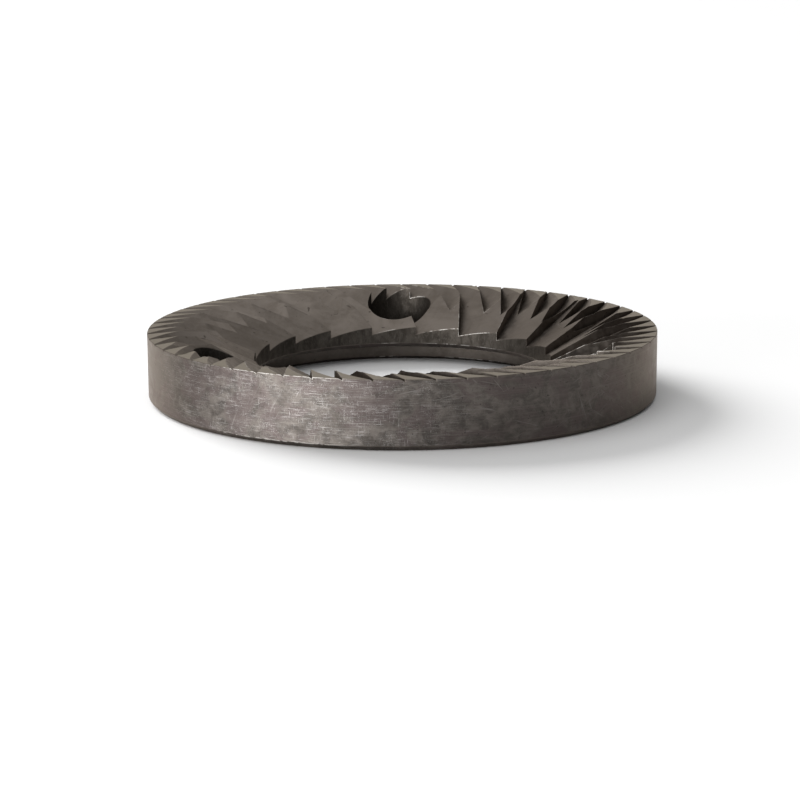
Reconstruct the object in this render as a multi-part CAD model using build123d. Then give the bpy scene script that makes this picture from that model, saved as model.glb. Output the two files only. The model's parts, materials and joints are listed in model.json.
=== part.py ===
from build123d import *
from math import acos, degrees, pi, radians, sqrt, tan
import os

# A flat coffee grinder burr: one steel ring, turned, drilled and then cut with
# two families of sawtooth grooves. Millimetres, +Z up through the toothed face,
# origin on the axis in the plane of the back face, first screw hole on +Y.

# Ring
outer_diameter = 64.0
bore_diameter = 37.4
height = 8.4
back_chamfer = 0.55

# Register recess in the back, which centres the burr on its carrier
recess_diameter = 43.0
recess_depth = 2.1
recess_chamfer = 0.3
lip_chamfer = 0.55

# Screw holes: head pocket, countersunk seat and through hole
hole_count = 3
hole_circle_diameter = 49.5
first_hole_angle = 90.0
through_diameter = 4.5
pocket_diameter = 8.5
seat_angle = 90.0
seat_floor = 1.3

# Coarse grooves, which break the beans: straight, with flat floors
coarse_count = 20
coarse_offset = 6.7
coarse_bore_angle = 65.4
coarse_rise_angle = 22.7
coarse_end_diameter = 60.0
coarse_lip_wall = 1.8

# Fine grooves, which finish the grounds: cut by a dished wheel
fine_count = 56
fine_offset = 12.3
fine_rim_angle = 57.45
fine_rise_angle = 34.0
fine_rim_depth = 0.2
fine_reach = 8.5
wheel_diameter = 42.0

# How far a cutter runs past the surface that it cuts
overrun = 1.0

outer_radius = outer_diameter / 2
bore_radius = bore_diameter / 2
recess_radius = recess_diameter / 2


def distance_along(radius, offset):
    """Distance from the foot of a groove line to the point at this radius."""
    return sqrt(radius**2 - offset**2)


def foot_angle(radius, offset, angle):
    """Direction of the foot of the groove line that has this angle at this radius."""
    return angle - degrees(acos(offset / radius))


def pattern(cutter, count, first_angle):
    """Copies of a cutter, spaced evenly round the axis."""
    step = 360 / count
    return [Rot(0, 0, first_angle + index * step) * cutter for index in range(count)]


def turned_blank():
    """The ring before its teeth are cut, revolved from its section."""
    section = Polyline(
        (recess_radius + recess_chamfer, 0),
        (outer_radius - back_chamfer, 0),
        (outer_radius, back_chamfer),
        (outer_radius, height),
        (bore_radius, height),
        (bore_radius, recess_depth + lip_chamfer),
        (bore_radius + lip_chamfer, recess_depth),
        (recess_radius, recess_depth),
        (recess_radius, recess_chamfer),
        close=True,
    )
    return revolve(Plane.XZ * make_face(section), Axis.Z)


def coarse_cutter():
    """A wedge with an upright side on the groove line and a floor that rises from it.

    The groove line runs along +Y at X = coarse_offset. Its root climbs from the
    lip at the bore and runs out in the top face just short of the rim.
    """
    bore_run = distance_along(bore_radius, coarse_offset)
    end_run = distance_along(coarse_end_diameter / 2, coarse_offset)
    bore_root = recess_depth + coarse_lip_wall
    slope = (height - bore_root) / (end_run - bore_run)
    width = 2 * pi * outer_radius / coarse_count
    start = distance_along(bore_radius, coarse_offset + width / 2) - overrun
    end = end_run + overrun
    root = bore_root + (start - bore_run) * slope
    climb = (end - start) * slope
    top = height + overrun - root
    profile = Polyline(
        (coarse_offset, root),
        (coarse_offset + width, root + width * tan(radians(coarse_rise_angle))),
        (coarse_offset + width, root + top),
        (coarse_offset, root + top),
        close=True,
    )
    face = Plane(origin=(0, start, 0), x_dir=(1, 0, 0), z_dir=(0, -1, 0)) * make_face(profile)
    return extrude(face, amount=end - start, dir=(0, end - start, climb))


def fine_cutter():
    """The sector of a dished wheel that dips below the overrun: upright on one side, coned on the other."""
    wheel_radius = wheel_diameter / 2
    rim_run = distance_along(outer_radius, fine_offset)
    sag = wheel_radius - sqrt(wheel_radius**2 - fine_reach**2)
    axle_height = height - fine_rim_depth - sag + wheel_radius
    axle_run = rim_run - fine_reach
    inner_radius = axle_height - height - overrun
    width = (wheel_radius - inner_radius) / tan(radians(fine_rise_angle))
    half_arc = degrees(acos(inner_radius / wheel_radius))
    profile = Polyline(
        (fine_offset, -wheel_radius),
        (fine_offset + width, -inner_radius),
        (fine_offset, -inner_radius),
        close=True,
    )
    axle = Axis((0, axle_run, axle_height), (1, 0, 0))
    face = Plane(origin=axle.position, x_dir=(1, 0, 0), z_dir=(0, -1, 0)) * make_face(profile)
    return revolve(face.rotate(axle, -half_arc), axis=axle, revolution_arc=2 * half_arc)


def screw_cutter():
    """A pocket for the screw head, a countersunk seat and the through hole below it."""
    through_radius = through_diameter / 2
    pocket_radius = pocket_diameter / 2
    seat_top = seat_floor + (pocket_radius - through_radius) / tan(radians(seat_angle / 2))
    section = Polyline(
        (0, -overrun),
        (through_radius, -overrun),
        (through_radius, seat_floor),
        (pocket_radius, seat_top),
        (pocket_radius, height + overrun),
        (0, height + overrun),
        close=True,
    )
    drill = revolve(Plane.XZ * make_face(section), Axis.Z)
    return Pos(hole_circle_diameter / 2, 0, 0) * drill


def burr():
    """The finished ring, with its grooves and holes cut one at a time."""
    coarse_foot = foot_angle(bore_radius, coarse_offset, coarse_bore_angle)
    fine_foot = foot_angle(outer_radius, fine_offset, fine_rim_angle)
    cutters = pattern(coarse_cutter(), coarse_count, coarse_foot)
    cutters += pattern(fine_cutter(), fine_count, fine_foot)
    cutters += pattern(screw_cutter(), hole_count, first_hole_angle)
    ring = turned_blank()
    for cutter in cutters:
        ring -= cutter
    return ring


os.makedirs("parts", exist_ok=True)
export_step(burr(), "parts/burr.step")
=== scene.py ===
import json
from collections import defaultdict
from math import copysign, cos, hypot, radians, sin

import bmesh
import bpy
from mathutils import Matrix, Vector, noise


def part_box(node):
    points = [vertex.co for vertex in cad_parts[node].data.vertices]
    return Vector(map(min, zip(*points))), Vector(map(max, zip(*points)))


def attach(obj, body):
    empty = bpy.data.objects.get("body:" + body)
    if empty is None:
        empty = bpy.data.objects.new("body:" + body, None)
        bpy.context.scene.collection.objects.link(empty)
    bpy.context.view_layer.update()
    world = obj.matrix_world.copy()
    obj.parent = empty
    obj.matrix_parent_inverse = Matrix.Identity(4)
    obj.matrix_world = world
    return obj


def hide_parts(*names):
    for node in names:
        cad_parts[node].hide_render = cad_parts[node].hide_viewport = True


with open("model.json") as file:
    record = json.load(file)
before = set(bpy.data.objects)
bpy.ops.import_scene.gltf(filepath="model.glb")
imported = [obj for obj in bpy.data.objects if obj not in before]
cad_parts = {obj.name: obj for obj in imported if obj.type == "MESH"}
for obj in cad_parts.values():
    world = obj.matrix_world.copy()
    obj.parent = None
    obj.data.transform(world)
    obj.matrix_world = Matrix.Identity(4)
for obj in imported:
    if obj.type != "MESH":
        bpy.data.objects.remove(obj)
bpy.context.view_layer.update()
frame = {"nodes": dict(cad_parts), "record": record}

# Lengths are in metres, in the frame of the solid: axis on Z, back face at Z = 0.
MM = 0.001
solid = frame["nodes"]["burr"]
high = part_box("burr")[1]
height = high.z
outer_radius = high.x
bore_radius = min(hypot(vert.co.x, vert.co.y) for vert in solid.data.vertices)

# Screw holes: where their axes lie, in degrees from the camera's side, and a radius just past their walls
mount_sizes = {mount["name"]: mount["dims"] for mount in frame["record"]["mounts"]}
hole_azimuths = (180, 60, -60)
hole_circle_radius = mount_sizes["screw_holes"]["pcd_mm"] / 2 * MM
hole_radius = 4.3 * MM

# Camera, as the photograph was taken: its lens, place and small roll
photo_pixels = 800
focal_pixels = 2473.6
sensor_width = 36.0
axis_pixel = (402.58, 392.14)
camera_distance = 313.5 * MM
camera_azimuth = -0.9
camera_elevation = 12.254
camera_roll = -0.326
camera_near = 10 * MM

# Cleaning of the solid's mesh: corners this near are joined, faces that meet at less than this are merged
weld_distance = 0.002 * MM
flat_angle = radians(0.6)

# Broken edges: corners sharper than this are rounded
sharp_angle = radians(20)
edge_width = 0.07 * MM
edge_segments = 2

# Nicks in the edges, where two noises add up to more than a start: waves to a millimetre and share of each
nick_spacing = 0.4 * MM
nick_depth = 0.16 * MM
nick_noises = ((1.7, 0.6), (0.45, 0.4))
nick_start = 0.18
nick_limit = 0.4

# Faces that meet within these angles share their shading: plain faces, and rounded edges
plain_blend = cos(radians(20))
edge_blend = cos(radians(50))
same_shade = 0.001

# The outer wall and the bore: how nearly their faces point along a radius, and how deep they may lie
turned_blend = cos(radians(5))
turned_depth = 0.3 * MM

# The lands are this near to level, and the back and its chamfers face down by more than this
lapped_blend = cos(radians(2))
back_blend = -0.1

# Material slots of the ring; the bored slot is darkened partly as painted shade
TURNED, EDGE, GROUND, LAPPED, BORED = range(5)

# Light of the room: patches by azimuth, elevation and strength, each fading out over this angle
room_patches = (
    (0, 88, 1.32),
    (0, 35, 0.9),
    (180, 15, 0.74),
    (-98, 44, 0.75),
)
patch_reach = 56

# Key light: a wide strip, low at the left front
key_azimuth = -50
key_elevation = 7
key_distance = 0.6
key_size = (0.6, 0.12)
key_watts = 5.2

# Light from behind at the left, on the floor alone
back_azimuth = -140
back_elevation = 22
back_spread = 40
back_strength = 8.0

# Floor, grey enough for both lights to bring it up to white
floor_size = 6.0
floor_shade = 0.5
floor_roughness = 0.7
floor_gloss = 0.1

# Edges worn bright, partly real wear and partly painted highlight (glints): degrees from the camera's
# side, radius and reach in mm, and strength
worn_and_glint_places = (
    (-28, 32.0, 11.0, 0.55),
    (153, 18.7, 6.5, 0.55),
    (176, 28.9, 3.0, 0.55),
    (185, 20.4, 2.5, 0.5),
    (58, 23.5, 7.5, 0.7),
)

# Side of the wall that is scuffed bright, the angles over which it fades in, and the share elsewhere
scuffed_side = -26
scuff_start = 48
scuff_full = 10
scuff_elsewhere = 0.07

# Directions of the scratches on the wall, as turns about the three axes in degrees
scratch_turns = ((38, 0, 30), (-30, 10, -20), (75, 0, 50))

# Tint of the steel's reflections at grazing angles
grazing_tint = (1, 0.92, 0.84, 1)


def direction(azimuth, elevation=0):
    """Unit vector from the origin; azimuth 0 is the camera's side and 90 its right, in degrees."""
    a, e = radians(azimuth), radians(elevation)
    return Vector((sin(a) * cos(e), -cos(a) * cos(e), sin(e)))


def link(obj):
    bpy.context.scene.collection.objects.link(obj)
    return obj


def sharp_edges(body):
    """Convex edges that are sharper than sharp_angle."""
    return [edge for edge in body.edges if edge.calc_face_angle_signed(0) > sharp_angle]


def nick_edges(body, edges):
    """Splits the edges into short lengths and pushes some of the new corners into the metal."""
    by_cuts = defaultdict(list)
    for edge in edges:
        by_cuts[int(edge.calc_length() / nick_spacing)].append(edge)
    for cuts, group in by_cuts.items():
        if cuts == 0:
            continue
        made = bmesh.ops.bisect_edges(body, edges=group, cuts=cuts)
        for vert in made["geom_split"]:
            if not isinstance(vert, bmesh.types.BMVert):
                continue
            place = vert.co / MM
            dent = sum(noise.noise(place * waves) * share for waves, share in nick_noises)
            if dent > nick_start:
                inward = -sum((face.normal for face in vert.link_faces), Vector()).normalized()
                vert.co += inward * min(dent - nick_start, nick_limit) * nick_depth


def turned_normal(face, place):
    """Direction away from or towards the axis, where a face belongs to the outer wall or the bore."""
    radius = hypot(place.x, place.y)
    outward = Vector((place.x, place.y, 0)) / radius
    facing = face.normal.dot(outward)
    on_wall = radius > outer_radius - turned_depth or radius < bore_radius + turned_depth
    if on_wall and abs(facing) > turned_blend:
        return outward * copysign(1, facing)
    return None


def in_hole(face):
    """Whether a face lies wholly inside one of the screw holes and faces its axis."""
    for azimuth in hole_azimuths:
        axis = direction(azimuth) * hole_circle_radius
        inside = all((vert.co - axis).xy.length < hole_radius for vert in face.verts)
        if inside and face.normal.xy.dot((axis - face.calc_center_median()).xy) > 0:
            return True
    return False


def finish_of(face):
    """Material slot of a face of the solid: one for each way that the real surfaces are cut; the slot of
    the holes and bore also carries painted shade.
    """
    centre = face.calc_center_median()
    if face.normal.z > lapped_blend:
        return LAPPED
    if in_hole(face):
        return BORED
    if turned_normal(face, centre):
        return TURNED if face.normal.dot(centre) > 0 else BORED
    return TURNED if face.normal.z < back_blend else GROUND


def corner_normals(body):
    """Shading direction of each face corner: the area's mean over faces that meet at a small angle."""
    area = {face: face.calc_area() for face in body.faces}
    normals = {}
    for face in body.faces:
        blend = edge_blend if face.material_index == EDGE else plain_blend
        for corner in face.loops:
            near = [other for other in corner.vert.link_faces if other.normal.dot(face.normal) > blend]
            mean = sum((other.normal * area[other] for other in near), Vector())
            normals[corner] = turned_normal(face, corner.vert.co) or mean.normalized()
    return normals


def shades_across(edge, normals):
    """Whether the two faces at an edge have the same shading direction at both of its ends."""
    a, b = edge.link_loops
    pairs = ((a, b.link_loop_next), (a.link_loop_next, b))
    return all((normals[one] - normals[other]).length < same_shade for one, other in pairs)


def dressed_burr():
    """The solid's own mesh with its outer edges rounded and nicked."""
    mesh = bpy.data.meshes.new("burr_ring")
    body = bmesh.new()
    body.from_mesh(solid.data)
    bmesh.ops.remove_doubles(body, verts=body.verts, dist=weld_distance)
    bmesh.ops.dissolve_limit(body, angle_limit=flat_angle, verts=body.verts, edges=body.edges)
    for face in body.faces:
        face.material_index = finish_of(face)
    nick_edges(body, sharp_edges(body))
    bmesh.ops.bevel(
        body,
        geom=sharp_edges(body),
        offset=edge_width,
        segments=edge_segments,
        profile=0.5,
        affect="EDGES",
        material=EDGE,
    )
    for vert in body.verts:
        vert.co.z = min(max(vert.co.z, 0), height)
    for face in body.faces:
        face.smooth = True
    body.normal_update()
    normals = corner_normals(body)
    for edge in body.edges:
        edge.smooth = shades_across(edge, normals)
    body.to_mesh(mesh)
    mesh.normals_split_custom_set([normals[corner] for face in body.faces for corner in face.loops])
    body.free()
    piece = link(bpy.data.objects.new("burr_ring", mesh))
    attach(piece, "root")
    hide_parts("burr")
    return piece


class Graph:
    """A material's node tree. Each call adds a node and returns the socket it gives."""

    def __init__(self, name):
        self.material = bpy.data.materials.new(name)
        self.material.use_nodes = True
        self.tree = self.material.node_tree
        self.shader = self.tree.nodes["Principled BSDF"]
        self.shader.inputs["Metallic"].default_value = 1.0
        self.shader.inputs["Specular Tint"].default_value = grazing_tint
        place = self.add("ShaderNodeTexCoord", {}, output="Object")
        self.place = self.stretch(place, 1 / MM, 1 / MM, 1 / MM)

    def put(self, socket, value):
        if isinstance(value, bpy.types.NodeSocket):
            self.tree.links.new(value, socket)
        else:
            socket.default_value = value

    def add(self, kind, inputs, output=0, **settings):
        node = self.tree.nodes.new(kind)
        for key, value in settings.items():
            setattr(node, key, value)
        for key, value in inputs.items():
            self.put(node.inputs[key], value)
        return node.outputs[output]

    def finish(self, colour, roughness, normal):
        self.put(self.shader.inputs["Base Color"], colour)
        self.put(self.shader.inputs["Roughness"], roughness)
        self.put(self.shader.inputs["Normal"], normal)
        return self.material

    def math(self, operation, *values):
        return self.add("ShaderNodeMath", dict(enumerate(values)), operation=operation)

    def vector(self, operation, a, b, output="Vector"):
        return self.add("ShaderNodeVectorMath", {0: a, 1: b}, output=output, operation=operation)

    def stretch(self, vector, x, y, z):
        return self.vector("MULTIPLY", vector, (x, y, z))

    def step(self, value, start, end, low=0.0, high=1.0):
        """Smooth change from low at start to high at end."""
        inputs = {"Value": value, "From Min": start, "From Max": end, "To Min": low, "To Max": high}
        return self.add("ShaderNodeMapRange", inputs, interpolation_type="SMOOTHSTEP")

    def noise(self, x, y, z, detail=2.0, roughness=0.5, warp=0.0, turn=(0, 0, 0)):
        """Noise with this many waves to a millimetre along each axis, after a turn in degrees."""
        place = self.place
        if any(turn):
            angles = [radians(angle) for angle in turn]
            inputs = {"Vector": place, "Rotation": angles}
            place = self.add("ShaderNodeVectorRotate", inputs, rotation_type="EULER_XYZ")
        vector = self.stretch(place, x, y, z)
        inputs = {"Vector": vector, "Scale": 1.0, "Detail": detail}
        inputs |= {"Roughness": roughness, "Distortion": warp}
        return self.add("ShaderNodeTexNoise", inputs)

    def mix(self, factor, a, b):
        return self.add("ShaderNodeMix", {0: factor, 6: a, 7: b}, output=2, data_type="RGBA")

    def bump(self, value, strength, distance, under=None):
        inputs = {"Height": value, "Strength": strength, "Distance": distance}
        if under is not None:
            inputs["Normal"] = under
        return self.add("ShaderNodeBump", inputs)

    def side(self, azimuth, start, end):
        """0 to 1 as the place on the ring turns to this azimuth; start and end are degrees from it."""
        flat = self.vector("NORMALIZE", self.stretch(self.place, 1, 1, 0), (0, 0, 0))
        toward = self.vector("DOT_PRODUCT", flat, direction(azimuth), output="Value")
        return self.step(toward, cos(radians(start)), cos(radians(end)))


def tone(value, red=1.13, blue=0.9):
    """A steel colour of this brightness, warmer than neutral."""
    return (value * red, value, value * blue, 1)


def turned_steel():
    """Wall and back: turning lines, brown stains and thin scratches, and a side that is scuffed bright."""
    g = Graph("turned_steel")
    mottle = g.noise(0.5, 0.5, 0.6, 6, 0.7, 0.5)
    stain = g.noise(0.14, 0.14, 0.2, 4, 0.65, 1.0)
    lines = g.noise(0.04, 0.04, 7.0, 3, 0.7)
    colour = g.mix(g.step(mottle, 0.38, 0.64), tone(0.056), tone(0.11))
    colour = g.mix(g.step(stain, 0.46, 0.58, 0, 0.75), colour, tone(0.068, 1.26, 0.96))
    colour = g.mix(g.step(lines, 0.45, 0.8, 0, 0.5), colour, tone(0.127))
    specks = g.step(g.noise(2.6, 2.6, 2.6, 2, 0.6), 0.64, 0.74, 0, 0.7)
    colour = g.mix(specks, colour, tone(0.025))
    for turn in scratch_turns:
        scratch = g.noise(0.16, 0.16, 5.0, 1, 0.5, 1.4, turn)
        colour = g.mix(g.step(scratch, 0.69, 0.77, 0, 0.4), colour, tone(0.18, 1.08, 0.94))

    along = g.step(g.noise(0.5, 0.5, 12.0, 3, 0.6), 0.5, 0.74, 0, 0.9)
    upright = g.step(g.noise(9.0, 9.0, 0.7, 3, 0.6, 0.4), 0.6, 0.72, 0, 0.8)
    grain = g.step(g.noise(7.0, 7.0, 8.0, 3, 0.8), 0.54, 0.7)
    marks = g.math("MAXIMUM", g.math("MAXIMUM", along, upright), grain)
    patches = g.step(g.noise(0.45, 0.45, 0.6, 6, 0.75, 0.4), 0.36, 0.66)
    scuffed = g.math("ADD", g.side(scuffed_side, scuff_start, scuff_full), scuff_elsewhere)
    scuffs = g.math("MULTIPLY", g.math("MULTIPLY", marks, patches), scuffed)
    colour = g.mix(scuffs, colour, tone(0.31, 1.05, 0.97))

    rough = g.step(mottle, 0.3, 0.7, 0.36, 0.5)
    normal = g.bump(lines, 0.2, 0.02 * MM)
    normal = g.bump(g.noise(6, 6, 6, 2, 0.6), 0.15, 0.02 * MM, normal)
    return g.finish(colour, rough, normal)


def ground_steel(g):
    """Grooves: warm grey with soft clouds, small dark pits, and painted shade that darkens the roots."""
    clouds = g.noise(0.22, 0.22, 0.22, 4, 0.6, 0.6)
    mottle = g.noise(1.3, 1.3, 1.3, 4, 0.6)
    colour = g.mix(g.step(clouds, 0.35, 0.65), tone(0.072, 1.17, 0.86), tone(0.105, 1.15, 0.88))
    colour = g.mix(g.step(mottle, 0.35, 0.75, 0, 0.5), colour, tone(0.135, 1.13, 0.89))
    pits = g.step(g.noise(1.1, 1.1, 1.1, 1, 0.5, 0.5), 0.7, 0.78, 0, 0.7)
    colour = g.mix(pits, colour, tone(0.025, 1.2, 0.85))
    # Painted shade: where little of the room is open, in the roots of the grooves, the colour is darkened
    openness_for_painted_shade = g.add("ShaderNodeAmbientOcclusion", {"Distance": 0.9 * MM}, output="AO")
    colour = g.mix(g.step(openness_for_painted_shade, 0.8, 0.35, 0, 0.4), colour, tone(0.03, 1.2, 0.8))
    rough = g.step(mottle, 0.3, 0.7, 0.4, 0.55)
    normal = g.bump(g.noise(5, 5, 5, 3, 0.6), 0.2, 0.03 * MM)
    return colour, rough, normal


def bored_and_shaded_steel():
    """Bore and screw holes: duller than the teeth and stained, and darker, partly in finish and partly as
    painted shade inside them.
    """
    g = Graph("bored_and_shaded_steel")
    stain = g.noise(0.9, 0.9, 0.5, 5, 0.7, 0.5)
    # Painted shade: these dark tones also stand in for the shade deep in the holes and the bore
    colour = g.mix(g.step(stain, 0.35, 0.68), tone(0.036, 1.15, 0.85), tone(0.07, 1.13, 0.87))
    grain = g.noise(5.0, 5.0, 2.0, 2, 0.7)
    colour = g.mix(g.step(grain, 0.52, 0.75, 0, 0.5), colour, tone(0.11, 1.1, 0.9))
    rough = g.step(stain, 0.3, 0.7, 0.6, 0.48)
    normal = g.bump(grain, 0.2, 0.03 * MM)
    return g.finish(colour, rough, normal)


def lapped_steel():
    """Lands of the teeth: lapped flat, paler and yellower than the grooves."""
    g = Graph("lapped_steel")
    mottle = g.noise(1.1, 1.1, 1.1, 4, 0.65)
    colour = g.mix(g.step(mottle, 0.3, 0.7), tone(0.135, 1.12, 0.8), tone(0.2, 1.1, 0.83))
    rough = g.step(mottle, 0.3, 0.7, 0.35, 0.5)
    normal = g.bump(g.noise(5, 5, 5, 3, 0.6), 0.15, 0.03 * MM)
    return g.finish(colour, rough, normal)


def edge_steel():
    """Rounded edges: as the teeth, and worn bright in places, partly real wear and partly painted
    highlight.
    """
    g = Graph("edge_steel")
    colour, rough, normal = ground_steel(g)
    worn_and_glint = None
    for azimuth, radius, reach, strength in worn_and_glint_places:
        centre = direction(azimuth) * radius
        away = g.vector("DISTANCE", g.stretch(g.place, 1, 1, 0), centre, output="Value")
        spot = g.step(away, reach, 0.5 * reach, 0, strength)
        worn_and_glint = spot if worn_and_glint is None else g.math("MAXIMUM", worn_and_glint, spot)
    uneven = g.step(g.noise(1.3, 1.3, 1.3, 3, 0.6), 0.4, 0.58)
    # Painted highlight: these places are brightened in the colour as glints, besides their real wear
    colour = g.mix(g.math("MULTIPLY", worn_and_glint, uneven), colour, tone(0.6, 1.04, 0.95))
    return g.finish(colour, rough, normal)


def add_camera():
    data = bpy.data.cameras.new("camera")
    data.sensor_width = sensor_width
    data.lens = focal_pixels / photo_pixels * sensor_width
    data.shift_x = (photo_pixels / 2 - axis_pixel[0]) / photo_pixels
    data.shift_y = (axis_pixel[1] - photo_pixels / 2) / photo_pixels
    data.clip_start = camera_near
    camera = link(bpy.data.objects.new("camera", data))
    back = direction(camera_azimuth, camera_elevation)
    roll = Matrix.Rotation(radians(camera_roll), 4, "Z").to_quaternion()
    camera.location = back * camera_distance
    camera.rotation_mode = "QUATERNION"
    camera.rotation_quaternion = back.to_track_quat("Z", "Y") @ roll
    bpy.context.scene.camera = camera


def add_key():
    data = bpy.data.lights.new("key", "AREA")
    data.shape = "RECTANGLE"
    data.size, data.size_y = key_size
    data.energy = key_watts
    light = link(bpy.data.objects.new("key", data))
    back = direction(key_azimuth, key_elevation)
    light.location = back * key_distance
    light.rotation_mode = "QUATERNION"
    light.rotation_quaternion = back.to_track_quat("Z", "Y")


def add_floor():
    bpy.ops.mesh.primitive_plane_add(size=floor_size)
    floor = bpy.context.object
    floor.name = "floor"
    material = bpy.data.materials.new("floor")
    material.use_nodes = True
    shader = material.node_tree.nodes["Principled BSDF"]
    shader.inputs["Base Color"].default_value = (floor_shade, floor_shade, floor_shade, 1)
    shader.inputs["Roughness"].default_value = floor_roughness
    shader.inputs["Specular IOR Level"].default_value = floor_gloss
    floor.data.materials.append(material)
    return floor


def add_backlight(floor):
    """A low, wide light that falls on the floor alone and gives the ring its long soft shadow."""
    data = bpy.data.lights.new("backlight", "SUN")
    data.angle = radians(back_spread)
    data.energy = back_strength
    light = link(bpy.data.objects.new("backlight", data))
    light.rotation_mode = "QUATERNION"
    light.rotation_quaternion = direction(back_azimuth, back_elevation).to_track_quat("Z", "Y")
    lit = bpy.data.collections.new("backlit")
    lit.objects.link(floor)
    light.light_linking.receiver_collection = lit


def add_world():
    """A pale room: wide soft patches of light that overlap, the strongest one overhead."""
    world = bpy.data.worlds.new("world")
    bpy.context.scene.world = world
    world.use_nodes = True
    tree = world.node_tree
    background = tree.nodes["Background"]
    background.inputs["Color"].default_value = (1, 1, 1, 1)
    toward = tree.nodes.new("ShaderNodeTexCoord")
    total = None
    for azimuth, elevation, strength in room_patches:
        near = tree.nodes.new("ShaderNodeVectorMath")
        near.operation = "DOT_PRODUCT"
        near.inputs[1].default_value = direction(azimuth, elevation)
        patch = tree.nodes.new("ShaderNodeMapRange")
        patch.interpolation_type = "SMOOTHSTEP"
        patch.inputs["From Min"].default_value = cos(radians(patch_reach))
        patch.inputs["To Max"].default_value = strength
        tree.links.new(toward.outputs["Generated"], near.inputs[0])
        tree.links.new(near.outputs["Value"], patch.inputs["Value"])
        light = patch.outputs["Result"]
        if total is not None:
            joined = tree.nodes.new("ShaderNodeMath")
            tree.links.new(total, joined.inputs[0])
            tree.links.new(light, joined.inputs[1])
            light = joined.outputs["Value"]
        total = light
    tree.links.new(total, background.inputs["Strength"])


ring = dressed_burr()
teeth = Graph("ground_steel")
ring.data.materials.append(turned_steel())
ring.data.materials.append(edge_steel())
ring.data.materials.append(teeth.finish(*ground_steel(teeth)))
ring.data.materials.append(lapped_steel())
ring.data.materials.append(bored_and_shaded_steel())

add_camera()
add_backlight(add_floor())
add_world()
add_key()
bpy.context.scene.view_settings.view_transform = "Standard"
